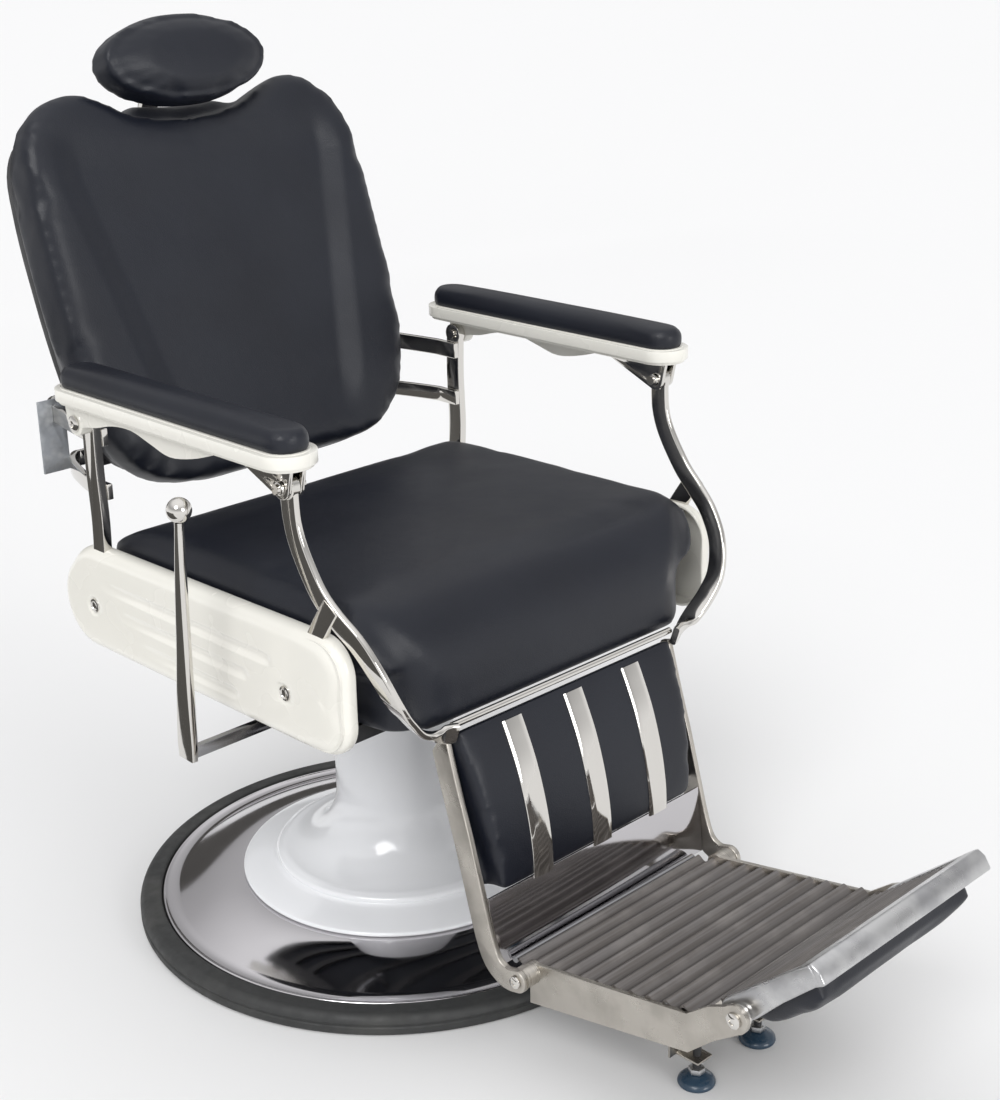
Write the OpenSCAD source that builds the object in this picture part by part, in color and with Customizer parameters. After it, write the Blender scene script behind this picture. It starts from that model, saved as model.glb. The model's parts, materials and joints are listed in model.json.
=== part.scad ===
// Hydraulic barber chair with a reclining back, a linked leg rest and a flip-over footrest.
// Millimetres. +Z is up, the origin is on the floor under the lifting column,
// the sitter faces -Y and the sitter's right hand is on the -X side.

/* [Base] */
// Outer radius of the rubber rim on the floor
base_r = 350; // [330:5:380]
// Height of the rubber rim
rim_h = 28; // [24:1:34]
// Outer radius of the straight neck of the pedestal cover
neck_r = 80; // [74:1:90]
// Height of the top of the pedestal cover
neck_top = 330; // [322:1:332]

/* [Seat] */
// Half width of the seat cushion
seat_half_w = 258; // [240:1:260]
// Height of the middle of the cushion above the floor
seat_top = 556; // [550:1:562]
// Height of the pivots of the linkage above the floor
pivot_z = 450; // [446:1:454]
// Front pivot, shared by the leg frame and the seat
front_pivot_y = -184; // [-188:1:-180]
// Rear pivot, shared by the backrest and the seat
rear_pivot_y = 196; // [192:1:200]

/* [Backrest] */
// Lean of the backrest from upright, in degrees
back_lean = 18.9; // [16:0.1:20]
// Half width of the backrest cushion
back_half_w = 264; // [250:1:268]

/* [Armrests] */
// Height of the arm pivots above the seat pivots
link_h = 240; // [236:1:244]
// Width of an armrest
arm_w = 68; // [64:1:72]

/* [Footrest] */
// Half width of the corrugated tread
tread_half_w = 161; // [150:1:163]
// Number of ribs pressed into the tread
tread_ribs = 11; // [8:1:13]

/* [Hidden] */
$fn = 64;
eps = 0.01;
running = 0.05;      // radial clearance of a shaft in its own bush
gap = 0.3;           // gap between faces of pieces that move past each other

// Chair-wide positions
arm_pivot_z = pivot_z + link_h;
arm_shift = -14;             // the links lean forward by this much
arm_front_y = front_pivot_y + arm_shift;
arm_rear_y = rear_pivot_y + arm_shift;
post_x = [294, 306];         // inner and outer face of the linkage bars
post_mid = (post_x[0] + post_x[1]) / 2;
hub_x = 274;                 // inner face of the posts' pivot hubs
hanger_x = [267, 272];       // inner and outer face of the seat frame's pivot plates
wing_half_w = 284;           // half width of the cushion over the pivots
panel_x = [290, 314];        // inner and outer face of the side panels
pin_r = 8;                   // pivot shafts of the linkage
bush_r = 11;
front_clear_r = 128;         // the seat's nose stays inside this radius round the front pivot

// Lifting column
ballast_h = 14;
dish_top = 47;
pump_r = 55;
pump_bore_r = 40;
pump_top = 312;
ram_r = 32;
spigot_r = 20;
ram_top = 338;
cup_top = 352;
frame_z = 384;
board_z = 404;
cushion_z = 414.5;

// Backrest frame: local X is across, Y is the depth behind the front face, Z is up the slope
back_foot = [0, 214, 563];
back_t = 72;
board_t = 12;

// Headrest
head_c = [0, 378, 1075];
head_half = [125, 57];
head_t = 46;

// Leg frame
leg_x = [186, 194];
leg_pad_half_w = [184, 163];
foot_pivot = [-418, 130];
flip_pivot = [-702, 204];

// ---------- helpers ----------

// Copies its children to both sides of the chair
module both_sides() {
    for (s = [0, 1]) mirror([s, 0, 0]) children();
}

// Draws a profile given in (y, z) as a plate from x[0] to x[1]
module side_plate(x) {
    translate([x[0], 0, 0]) rotate([90, 0, 90]) linear_extrude(x[1] - x[0]) children();
}

// A round bar along X at (y, z)
module x_bar(x, yz, r) {
    translate([x[0], yz[0], yz[1]]) rotate([0, 90, 0]) cylinder(h = x[1] - x[0], r = r);
}

// One point of a smooth curve through b and c
function curve_point(a, b, c, d, t) =
    0.5 * (2 * b + (c - a) * t + (2 * a - 5 * b + 4 * c - d) * pow(t, 2)
        + (3 * b - a - 3 * c + d) * pow(t, 3));

// A smooth curve through the points p, with n steps between neighbours
function smooth(p, n) = concat(
    [for (i = [0 : len(p) - 2], j = [0 : n - 1])
        curve_point(p[max(i - 1, 0)], p[i], p[i + 1], p[min(i + 2, len(p) - 1)], j / n)],
    [p[len(p) - 1]]);

function tangent(p, i) =
    let (d = p[min(i + 1, len(p) - 1)] - p[max(i - 1, 0)]) d / norm(d);

// Outline of a ribbon of width w along the 2D points p
function ribbon(p, w) = concat(
    [for (i = [0 : len(p) - 1]) p[i] + [-tangent(p, i)[1], tangent(p, i)[0]] * w / 2],
    [for (i = [len(p) - 1 : -1 : 0]) p[i] - [-tangent(p, i)[1], tangent(p, i)[0]] * w / 2]);

// Flat bar of width w and thickness t swept along the 3D points p, its flat side facing X
module swept_bar(p, w, t) {
    n = len(p);
    rings = [for (i = [0 : n - 1])
        let (d = tangent(p, i),
             f0 = [1, 0, 0] - d[0] * d,
             f = f0 / norm(f0),
             s = cross(d, f))
        for (k = [[-1, -1], [1, -1], [1, 1], [-1, 1]]) p[i] + f * k[0] * t / 2 + s * k[1] * w / 2];
    polyhedron(rings, concat(
        [[0, 1, 2, 3]],
        [for (i = [0 : n - 2], k = [0 : 3])
            [4 * i + k, 4 * i + 4 + k, 4 * i + 4 + (k + 1) % 4, 4 * i + (k + 1) % 4]],
        [[4 * n - 1, 4 * n - 2, 4 * n - 3, 4 * n - 4]]));
}

// Points of an arc round c, from angle a0 to a1
function arc(c, r, a0, a1, n) =
    [for (i = [0 : n]) c + r * [cos(a0 + (a1 - a0) * i / n), sin(a0 + (a1 - a0) * i / n)]];

// Round bar with a round bore
module tube(r_out, r_in, z0, z1) {
    translate([0, 0, z0]) difference() {
        cylinder(h = z1 - z0, r = r_out);
        translate([0, 0, -1]) cylinder(h = z1 - z0 + 2, r = r_in);
    }
}

// ---------- base ----------

// Cast iron disc that keeps the chair upright, with a ring that carries the dish
module ballast_plate() {
    color([0.2, 0.2, 0.22]) difference() {
        union() {
            cylinder(h = ballast_h, r = 300);
            tube(206, 197, ballast_h - eps, dish_top - 2);
        }
        for (a = [0 : 60 : 300]) rotate(a) translate([75, 0, 5]) cylinder(h = 30, r = 5.2);
    }
}

// Black rubber bumper with the ledge that the dish sits on
module rubber_rim() {
    color([0.06, 0.06, 0.06]) rotate_extrude() polygon(concat(
        [[303, 0], [base_r - 6, 0]],
        arc([base_r - 6, 6], 6, -90, 0, 4),
        arc([base_r - 12, rim_h - 12], 12, 0, 90, 6),
        arc([325, rim_h - 5], 5, 90, 180, 4),
        [[320, 22], [303, 22]]));
}

// Polished stainless dish
module base_dish() {
    sheet = 2;
    rise = [for (i = [0 : 8]) [300 - 90 * i / 8, 24 + (dish_top - 24) * sin(90 * i / 8)]];
    color([0.75, 0.76, 0.78]) rotate_extrude() polygon(concat(
        [[319.7, 24]], rise, [[62, dish_top]],
        [[62, dish_top - sheet]],
        [for (i = [8 : -1 : 0]) rise[i] - [0, sheet]],
        [[319.7, 22]]));
}

// Outer line of the pedestal: flange, step ring, flare and neck
pedestal_line = concat(
    [[209, dish_top], [210, dish_top + 4], [206, dish_top + 8]],
    [[165, 65], [161, 69], [159, 76], [154, 78]],
    [for (i = [1 : 10]) [154 - (154 - neck_r) * sin(9 * i), 158 - 80 * cos(9 * i)]],
    [[neck_r, neck_top]]);

// White trumpet-shaped cover of the lifting column
module pedestal_cover() {
    wall = 4;
    color([0.93, 0.94, 0.95]) rotate_extrude() polygon(concat(
        pedestal_line,
        [[53, neck_top], [53, neck_top - wall], [neck_r - wall, neck_top - wall]],
        [for (i = [10 : -1 : 1]) [150 - (154 - neck_r) * sin(9 * i), 154 - 80 * cos(9 * i)]],
        [[148, 72], [148, 62], [200, dish_top + 2], [200, dish_top]]));
}

// Steel cylinder and oil reservoir of the hydraulic pump
module pump_cylinder() {
    color([0.35, 0.36, 0.38]) difference() {
        union() {
            translate([0, 0, ballast_h]) cylinder(h = 12, r = 95);
            translate([0, 0, ballast_h]) cylinder(h = pump_top - ballast_h, r = pump_r);
        }
        translate([0, 0, 24]) cylinder(h = pump_top, r = pump_bore_r);
        for (a = [0 : 60 : 300]) rotate(a) translate([75, 0, 0]) cylinder(h = 60, r = 5.5);
    }
}

module pump_flange_bolts() {
    color([0.6, 0.6, 0.62]) for (a = [0 : 60 : 300]) rotate(a) translate([75, 0, 0]) {
        translate([0, 0, 26]) cylinder(h = 6, r = 9, $fn = 6);
        translate([0, 0, 6]) cylinder(h = 21, r = 5);
    }
}

// Bronze guide of the ram, with a wiping lip on top
module guide_bush() {
    color([0.7, 0.5, 0.25]) difference() {
        union() {
            translate([0, 0, pump_top - 34]) cylinder(h = 34, r = pump_bore_r - 0.02);
            translate([0, 0, pump_top]) cylinder(h = 7, r = 51);
        }
        translate([0, 0, 0]) cylinder(h = 400, r = ram_r + running);
    }
}

// ---------- lifting ram ----------

module lift_ram() {
    color([0.8, 0.81, 0.83]) {
        translate([0, 0, 58]) cylinder(h = ram_top - 58, r = ram_r);
        translate([0, 0, ram_top - eps]) cylinder(h = 36, r = spigot_r);
    }
}

module ram_piston() {
    color([0.3, 0.3, 0.32]) tube(pump_bore_r - running, ram_r + 0.02, 58, 84);
}

module bearing_cup() {
    color([0.55, 0.55, 0.57]) tube(52, spigot_r + 0.02, ram_top, cup_top);
}

// ---------- seat ----------

// Hub that turns on the ram's spigot
module swivel_hub() {
    color([0.25, 0.25, 0.27]) tube(50, spigot_r + running, cup_top + gap, frame_z);
}

// Welded steel frame under the seat, with the pivot plates of the linkage
module seat_frame() {
    rail = 20;
    color([0.12, 0.12, 0.13]) difference() {
        union() {
            for (y = [-222, -141, -60, 60, 126, 192])
                translate([-hanger_x[1], y - rail / 2, frame_z]) cube([2 * hanger_x[1], rail, rail]);
            both_sides() {
                translate([hanger_x[0] - 26, -232, frame_z]) cube([26, 434, rail]);
                side_plate(hanger_x) polygon([[-224, frame_z], [-208, 468], [-160, 468], [-122, frame_z]]);
                side_plate(hanger_x) polygon([[134, frame_z], [172, 468], [202, 468], [202, frame_z]]);
            }
            for (x = [-30, 30]) translate([x - 10, -60, frame_z]) cube([20, 120, rail]);
            for (x = [-240, -160]) side_plate([x, x + 8])
                polygon([[-112, 356], [-64, 356], [-52, frame_z + 4], [-124, frame_z + 4]]);
        }
        for (y = [front_pivot_y, rear_pivot_y])
            x_bar([-300, 300], [y, pivot_z], pin_r + 0.02);
        x_bar([-300, 0], lever_axis, 8 + running);
    }
}

module seat_board() {
    color([0.6, 0.45, 0.3]) translate([0, 0, board_z]) linear_extrude(10)
        offset(r = 30) offset(delta = -30) translate([-250, -290]) square([500, 480]);
}

// Front of the cushion: an arc round the front pivot that clears the leg rest
nose_low = -22;
nose_high = 52;
seat_side = concat(
    arc([front_pivot_y, pivot_z], front_clear_r, 180 - nose_low, 180 - nose_high, 12),
    [[-180, seat_top - 2], [-60, seat_top], [80, seat_top - 4], [160, 543], [196, 526], [212, 500],
     [212, cushion_z], [-290, cushion_z]]);

// Plan of the cushion with front corners of radius r
module seat_plan(half_w, front_y, r) polygon(concat(
    arc([-half_w + r, front_y + r], r, 180, 270, 10), arc([half_w - r, front_y + r], r, 270, 360, 10),
    arc([half_w - 30, 182], 30, 0, 90, 5), arc([-half_w + 30, 182], 30, 90, 180, 5)));

// Side of the cushion's wings, which spread over the pivot eyes and stay inside the swing of the posts
wing_r = 118;
wing_side = concat(
    arc([front_pivot_y, pivot_z], wing_r, 164.3, 118, 8),
    [[-180, seat_top - 2], [-60, seat_top], [80, seat_top - 4], [160, 543], [196, 526], [212, 500], [212, 482]]);

module seat_cushion() {
    color([0.05, 0.05, 0.06]) {
        intersection() {
            side_plate([-seat_half_w, seat_half_w]) polygon(seat_side);
            translate([0, 0, 390]) linear_extrude(200) seat_plan(seat_half_w, -312, 80);
        }
        intersection() {
            side_plate([-wing_half_w, wing_half_w]) polygon(wing_side);
            translate([0, 0, 470]) linear_extrude(100) seat_plan(wing_half_w, -300, 50);
            rotate([90, 0, 0]) translate([0, 0, -300]) linear_extrude(700)
                polygon([[-wing_half_w, 480], [wing_half_w, 480], [wing_half_w, 528], [wing_half_w - 24, 558],
                    [24 - wing_half_w, 558], [-wing_half_w, 528]]);
        }
    }
}

// Outline of a side panel in (y, z)
module panel_outline() {
    hull() {
        translate([-240, 434]) circle(42);
        translate([-240, 490]) circle(42);
        translate([208, 450]) circle(60);
        translate([192, 464]) circle(62);
    }
}

// Moulded cover of the linkage, hollow on its inner side, with its rim cut away where the posts swing
module side_panel() {
    wall = 4;
    color([0.93, 0.91, 0.85]) difference() {
        union() {
            difference() {
                side_plate(panel_x) panel_outline();
                side_plate([panel_x[0] - 1, panel_x[1] - wall]) offset(delta = -wall) panel_outline();
            }
            for (y = [front_pivot_y, rear_pivot_y])
                x_bar([308, panel_x[1]], [y, pivot_z], 15);
            for (f = [[164, -152, 483], [128, -110, 452], [86, -88, 421]])
                side_plate([panel_x[1] - eps, panel_x[1] + 2]) hull()
                    for (y = [f[0], f[1]]) translate([y, f[2]]) circle(7);
        }
        for (y = [front_pivot_y, rear_pivot_y]) {
            x_bar([299, 320], [y, pivot_z], 4.2);
            x_bar([panel_x[1] - 3, 320], [y, pivot_z], 10);
        }
        // Openings of the rim
        side_plate([panel_x[0] - 1, panel_x[1] - wall]) {
            translate([-250, 505]) square([100, 60]);
            translate([142, 478]) square([160, 60]);
        }
    }
}

module left_side_panel() side_panel();
module right_side_panel() mirror([1, 0, 0]) side_panel();

module panel_screws() {
    color([0.8, 0.78, 0.72]) both_sides() for (y = [front_pivot_y, rear_pivot_y]) {
        x_bar([299, panel_x[1] - 3 + eps], [y, pivot_z], 4);
        difference() {
            x_bar([panel_x[1] - 3, panel_x[1] + 1], [y, pivot_z], 8.5);
            x_bar([panel_x[1] - 1, panel_x[1] + 2], [y, pivot_z], 3);
        }
    }
}

// Stub shafts between the frame's pivot plates and the panels
module pivot_shaft_pair(y) {
    color([0.6, 0.6, 0.62]) both_sides() difference() {
        x_bar([260, 308], [y, pivot_z], pin_r);
        x_bar([298, 309], [y, pivot_z], 4.1);
    }
}
module front_pivot_shafts() pivot_shaft_pair(front_pivot_y);
module rear_pivot_shafts() pivot_shaft_pair(rear_pivot_y);

// Friction brake that holds the recline quadrant, on the sitter's left
quadrant_x = [276, 282];
module brake_caliper() {
    color([0.3, 0.3, 0.32]) {
        side_plate([hanger_x[1], quadrant_x[0] - gap]) brake_outline();
        side_plate([quadrant_x[1] + gap, quadrant_x[1] + 5]) brake_outline();
        side_plate([hanger_x[1], quadrant_x[1] + 5]) translate([142, 376]) square([32, 6]);
    }
}
module brake_outline() translate([142, 376]) square([32, 26]);

// ---------- pump lever ----------

lever_x = -381;
lever_axis = [-88, 368];

// Flat bar outside the frame that turns into the pump's round drive shaft
module lever_shaft() {
    color([0.35, 0.35, 0.36]) {
        translate([lever_x + 4, lever_axis[0] - 4, lever_axis[1] - 7]) cube([127, 8, 14]);
        x_bar([-258, -140], lever_axis, 8);
    }
}

// Tapered lever arm, a flat bar at its foot
module pump_lever() {
    color([0.8, 0.8, 0.82]) side_plate([lever_x - 4, lever_x + 4])
        polygon([[-100, 363], [-78, 363], [-77, 380], [-106, 650], [-113, 650], [-103, 380]]);
}

module lever_knob() {
    color([0.85, 0.85, 0.87]) {
        translate([lever_x, -110, 665]) sphere(14);
        translate([lever_x, -109.5, 650]) cylinder(h = 6, r = 5);
    }
}

// ---------- backrest ----------

rear_line = smooth([[rear_pivot_y, pivot_z], [187, 500], [182, 560], [184, 630], [arm_rear_y, arm_pivot_z]], 5);

// Flat bar from the rear pivot to the arm pivot
module rear_post() {
    color([0.8, 0.8, 0.82]) difference() {
        union() {
            side_plate(post_x) polygon(ribbon(rear_line, 24));
            x_bar([hub_x, post_x[1]], [rear_pivot_y, pivot_z], 22);
            x_bar(post_x, [arm_rear_y, arm_pivot_z], 14);
        }
        x_bar([260, 310], [rear_pivot_y, pivot_z], bush_r + 0.02);
        x_bar([260, 310], [arm_rear_y, arm_pivot_z], 6.02);
    }
}
module left_rear_post() rear_post();
module right_rear_post() mirror([1, 0, 0]) rear_post();

// Bronze bushes pressed into the pivot eyes
module pivot_bush_pair(y) {
    color([0.7, 0.5, 0.25]) both_sides() difference() {
        x_bar([hub_x, post_x[1]], [y, pivot_z], bush_r);
        x_bar([260, 310], [y, pivot_z], pin_r + running);
    }
}
module rear_pivot_bushes() pivot_bush_pair(rear_pivot_y);
module front_pivot_bushes() pivot_bush_pair(front_pivot_y);

// Shoulder bolts that the rear ends of the armrests turn on
module rear_arm_bolts() {
    color([0.85, 0.85, 0.87]) both_sides() {
        x_bar([290, 323], [arm_rear_y, arm_pivot_z], 6);
        x_bar([322.5, 327], [arm_rear_y, arm_pivot_z], 10);
    }
}

// Plan paths of the stubs, from the inner face of a rear post round the cushion to the back rails
upper_stub = [[290, 170], [290, 184], [290, 198], [290, 212], [284, 250], [275, 300], [267, 330], [252, 348], [236, 348],
    [227, 348], [218, 348]];
lower_stub = [[290, 170], [290, 184], [290, 198], [290, 210], [282, 242], [268, 285], [255, 310], [243, 323], [234, 323],
    [226, 323], [218, 323]];

// Upper and lower flat brackets between the rear posts and the back frame
module stub_bars() {
    translate([0, 0, 657]) linear_extrude(22) polygon(ribbon(smooth(upper_stub, 3), 8));
    translate([0, 0, 589]) linear_extrude(20) polygon(ribbon(smooth(lower_stub, 3), 8));
}
module back_stubs() color([0.8, 0.8, 0.82]) both_sides() stub_bars();

// Places its children in the backrest's own frame
module on_back() translate(back_foot) rotate([-back_lean, 0, 0]) children();

// Half outline of the backrest across and up its slope
back_half = [[0, 2], [120, 4], [180, 16], [220, 44], [243, 86], [257, 140], [back_half_w - 1, 220],
    [back_half_w, 320], [back_half_w - 3, 390], [254, 440], [234, 478], [200, 502], [160, 508],
    [120, 495], [80, 477], [0, 466]];

module back_outline() polygon(concat(
    smooth(back_half, 3),
    [for (i = [len(smooth(back_half, 3)) - 2 : -1 : 1]) let (p = smooth(back_half, 3)[i]) [-p[0], p[1]]]));

// Extrudes an outline drawn across and up the slope, from depth d0 to d1
module back_slab(d0, d1) translate([0, d1, 0]) rotate([90, 0, 0]) linear_extrude(d1 - d0) children();

module backrest_cushion() {
    color([0.05, 0.05, 0.06]) on_back() {
        back_slab(-8, 42) offset(delta = 8) back_outline();
        back_slab(41, back_t) offset(delta = -13) back_outline();
    }
}

// Plywood back with two steel rails
module back_frame() {
    color([0.1, 0.1, 0.11]) on_back() {
        back_slab(back_t, back_t + board_t) offset(delta = -20) back_outline();
        both_sides() translate([190, back_t + board_t, 52]) cube([28, 8, 364]);
    }
}

// Galvanised plates welded across the stubs, behind the lower back
module back_plates() {
    color([0.62, 0.64, 0.66]) both_sides() difference() {
        translate([259.5, 309, 593]) cube([37.5, 3, 94]);
        stub_bars();
    }
}

// Clamp that holds the headrest post behind the backrest
post_depth = back_t + board_t;
module headrest_socket() {
    color([0.3, 0.3, 0.32]) on_back() difference() {
        translate([-30, post_depth, 340]) cube([60, 20, 60]);
        translate([-13.1, post_depth + 5, 330]) cube([26.2, 8.2, 80]);
    }
}

// Sector plate welded to the left rear post's eye
module recline_quadrant() {
    color([0.5, 0.5, 0.52]) difference() {
        side_plate(quadrant_x) polygon(concat([[rear_pivot_y, pivot_z]],
            arc([rear_pivot_y, pivot_z], 70, 190, 300, 16)));
        x_bar([260, 310], [rear_pivot_y, pivot_z], 22.02);
    }
}

// ---------- headrest ----------

// Flat post with the hinge eye of the headrest at its top
head_hinge = [430, 1079];
module headrest_post() {
    color([0.75, 0.76, 0.78]) difference() {
        union() {
            on_back() side_plate([-13, 13]) polygon([[post_depth + 5.1, 262], [post_depth + 5.1, 492],
                [33, 553], [41, 562], [post_depth + 13.1, 496], [post_depth + 13.1, 262]]);
            x_bar([-13.6, 13.6], head_hinge, 9);
        }
        x_bar([-14, 14], head_hinge, 3 + running);
    }
}

// Hinge plate inside the headrest
module headrest_board() {
    color([0.3, 0.3, 0.32]) {
        translate(head_c) rotate([-back_lean, 0, 0]) translate([-60, 16, -30]) cube([120, 8, 60]);
        both_sides() {
            x_bar([14, 22], head_hinge, 9);
            side_plate([14, 22]) polygon([[394, 1056], [431, 1070], [431, 1088], [406, 1098]]);
        }
        x_bar([-25, 25], head_hinge, 3);
    }
}

module headrest_pad() {
    color([0.05, 0.05, 0.06]) translate(head_c) rotate([-back_lean, 0, 0])
        translate([0, 16, 0]) rotate([90, 0, 0]) linear_extrude(head_t)
            polygon([for (a = [0 : 10 : 350]) [head_half[0] * cos(a), head_half[1] * sin(a)]]);
}

// ---------- leg frame ----------

// Centre line of a front post, from the arm pivot to its foot on the leg bar
front_line = smooth([[post_mid, arm_front_y, arm_pivot_z], [post_mid, -200, 652], [post_mid, -211, 620],
    [post_mid, -237, 580], [298, -262, 556], [292, -289, 532], [284, -310, 500], [270, -320, 464],
    [252, -319, 438], [230, -315, 416], [209, -317, 407], [186, -324, 404]], 3);
branch_line = smooth([[post_mid, -262, 561], [post_mid, -240, 552], [post_mid, -216, 530],
    [post_mid, -192, 490], [post_mid, front_pivot_y, pivot_z + 4]], 3);

// Chrome front post with its branch back to the front pivot
module front_post() {
    color([0.8, 0.8, 0.82]) difference() {
        union() {
            swept_bar(front_line, 24, 8);
            swept_bar(branch_line, 25, 7.9);
            x_bar([hub_x, post_x[1]], [front_pivot_y, pivot_z], 22);
            x_bar(post_x, [arm_front_y, arm_pivot_z], 14);
        }
        x_bar([260, 310], [front_pivot_y, pivot_z], bush_r + 0.02);
        x_bar([260, 310], [arm_front_y, arm_pivot_z], 6.02);
    }
}
module left_front_post() front_post();
module right_front_post() mirror([1, 0, 0]) front_post();

// Pins through the tops of the front posts
module front_arm_pins() {
    color([0.85, 0.85, 0.87]) both_sides() x_bar([280, 320], [arm_front_y, arm_pivot_z], 6);
}

leg_line = smooth([[-300, 392], [-318, 330], [-334, 280], [-351, 220], [-367, 165], [-380, 138],
    [-400, 127], foot_pivot], 3);

// Flat steel side bar of the leg rest
module leg_bar() {
    color([0.72, 0.7, 0.64]) difference() {
        union() {
            side_plate(leg_x) polygon(ribbon(leg_line, 28));
            x_bar(leg_x, foot_pivot, 14);
        }
        x_bar([180, 200], foot_pivot, 6.02);
        x_bar([180, 200], [front_pivot_y, pivot_z], front_clear_r + 3);
    }
}
module left_leg_bar() leg_bar();
module right_leg_bar() mirror([1, 0, 0]) leg_bar();

// Thin rod across the top of the leg rest
module leg_cross_rod() {
    color([0.85, 0.85, 0.87]) x_bar([-leg_x[0], leg_x[0]], [-316, 410], 4);
}

// Front and back lines of the pad, from its top to its bottom
pad_front = smooth([[-320, 400], [-333, 374], [-349, 337], [-363, 290], [-371, 245], [-373, 211]], 3);
pad_back = [[-351, 211], [-329, 290], [-318, 335], [-309, 398]];

module leg_pad_board() {
    color([0.6, 0.45, 0.3]) side_plate([-leg_x[0], leg_x[0]])
        polygon([[-308.7, 396], [-317.7, 335], [-328.7, 290], [-350.7, 211],
            [-343, 211], [-321, 290], [-310, 335], [-302.5, 388]]);
}

module leg_pad() {
    color([0.05, 0.05, 0.06]) intersection() {
        side_plate([-184, 184]) polygon(concat(pad_front, pad_back));
        translate([0, -200, 0]) rotate([90, 0, 0]) linear_extrude(300)
            polygon([[-leg_pad_half_w[1], 200], [leg_pad_half_w[1], 200],
                [leg_pad_half_w[0], 400], [-leg_pad_half_w[0], 400]]);
    }
}

// Three chrome strips let into the front of the pad
module leg_pad_strips() {
    color([0.85, 0.85, 0.87]) for (x = [-101, 0, 101]) side_plate([x - 16, x + 16])
        polygon(concat([for (i = [1 : len(pad_front) - 1]) pad_front[i] - [1.2, 0]],
            [for (i = [len(pad_front) - 1 : -1 : 1]) pad_front[i] - [0.05, 0]]));
}

// Polished plate between the pad and the tread
module riser_plate() {
    color([0.8, 0.8, 0.82]) side_plate([-leg_x[0], leg_x[0]])
        polygon([[-368, 210.5], [-365.5, 210.5], [-375, 124], [-377.5, 124]]);
}

// ---------- armrests ----------

arm_y = [-232, 222];
arm_z = [713, 739];
arm_x = 302;
cavity_z = 732;              // ceiling of the hollow under an armrest

// Plan view of an armrest, inset by d
module arm_plan(d) {
    r = arm_w / 2;
    offset(delta = -d) hull() for (y = [arm_y[0] + r, arm_y[1] - r]) translate([arm_x, y]) circle(r);
}

// Rounded shell that carries the arm pad, with the scalloped web of its rear pivot
module arm_shell() {
    web = [post_x[1] + gap, 322];
    color([0.93, 0.91, 0.85]) difference() {
        union() {
            translate([0, 0, arm_z[0] + 4]) linear_extrude(arm_z[1] - arm_z[0] - 4) arm_plan(0);
            translate([0, 0, arm_z[0]]) linear_extrude(5) arm_plan(4);
            side_plate(web) polygon(concat(
                [[-108, arm_z[0] + 1]],
                smooth([[-92, 706], [-56, 695], [-12, 688], [26, 696], [62, 704], [100, 702], [136, 693],
                    [156, 690]], 4),
                arc([arm_rear_y, arm_pivot_z], 15, 190, 360, 12),
                [[202, arm_z[0] + 1]]));
        }
        translate([0, 0, arm_z[0] - 1]) linear_extrude(cavity_z - arm_z[0] + 1) difference() {
            arm_plan(7);
            translate([web[0], -108]) square([web[1] - web[0], 313]);
        }
        x_bar([280, 330], [arm_rear_y, arm_pivot_z], 6 + gap);
    }
}
module left_arm_shell() arm_shell();
module right_arm_shell() mirror([1, 0, 0]) arm_shell();

module arm_pad() {
    color([0.05, 0.05, 0.06]) {
        translate([0, 0, arm_z[1]]) linear_extrude(11) arm_plan(8);
        translate([0, 0, arm_z[1] + 11 - eps]) linear_extrude(7) arm_plan(14);
    }
}
module left_arm_pad() arm_pad();
module right_arm_pad() mirror([1, 0, 0]) arm_pad();

// Folded bracket with two cheeks round the top of the front post
module arm_bracket() {
    cheek = 5;
    color([0.8, 0.8, 0.82]) difference() {
        union() {
            for (x = [[post_x[0] - gap - cheek, post_x[0] - gap], [post_x[1] + gap, post_x[1] + gap + cheek]])
                side_plate(x) hull() {
                    translate([arm_front_y, arm_pivot_z]) circle(13);
                    translate([-216, arm_z[0] - 2]) square([100, cavity_z - arm_z[0] + 2]);
                }
            translate([post_x[0] - gap - cheek, -216, cavity_z - 4]) cube([12.6 + 2 * cheek, 100, 4]);
        }
        x_bar([260, 330], [arm_front_y, arm_pivot_z], 6 + running);
        // Room for the eye of the post
        x_bar([post_x[0] - gap, post_x[1] + gap], [arm_front_y, arm_pivot_z], 17);
    }
}
module left_arm_bracket() arm_bracket();
module right_arm_bracket() mirror([1, 0, 0]) arm_bracket();

// ---------- footrest ----------

tread_start = [-391, 129];
tread_end = [-656, 187];
rib_h = 4;
tread_dir = (tread_end - tread_start) / norm(tread_end - tread_start);
tread_up = [tread_dir[1], -tread_dir[0]];

foot_at = [56, -568];        // centre of a levelling foot, across and along

// A point of the corrugated sheet, t from 0 to 1, raised by h
function tread_point(t, h) = tread_start + (tread_end - tread_start) * t
    + tread_up * (h + rib_h * cos(360 * tread_ribs * t));

module footrest_tread() {
    n = 8 * tread_ribs;
    color([0.6, 0.6, 0.6]) {
        side_plate([-tread_half_w, tread_half_w]) polygon(concat(
            [for (i = [0 : n]) tread_point(i / n, 0)],
            [for (i = [n : -1 : 0]) tread_point(i / n, -3)]));
        for (t = [0.22, 0.9]) side_plate([-tread_half_w, tread_half_w])
            translate(tread_start + (tread_end - tread_start) * t - tread_up * 15) rotate(-12.6)
                square([22, 18], center = true);
        // Folded brackets that the levelling feet screw into
        both_sides() difference() {
            union() {
                translate([foot_at[0] - 28, foot_at[1] + 20, 34]) cube([56, 3, 124.5]);
                translate([foot_at[0] - 28, foot_at[1] - 20, 34]) cube([56, 43, 4]);
            }
            translate([foot_at[0], foot_at[1], 0]) cylinder(h = 100, r = 5.05);
        }
    }
}

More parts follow.
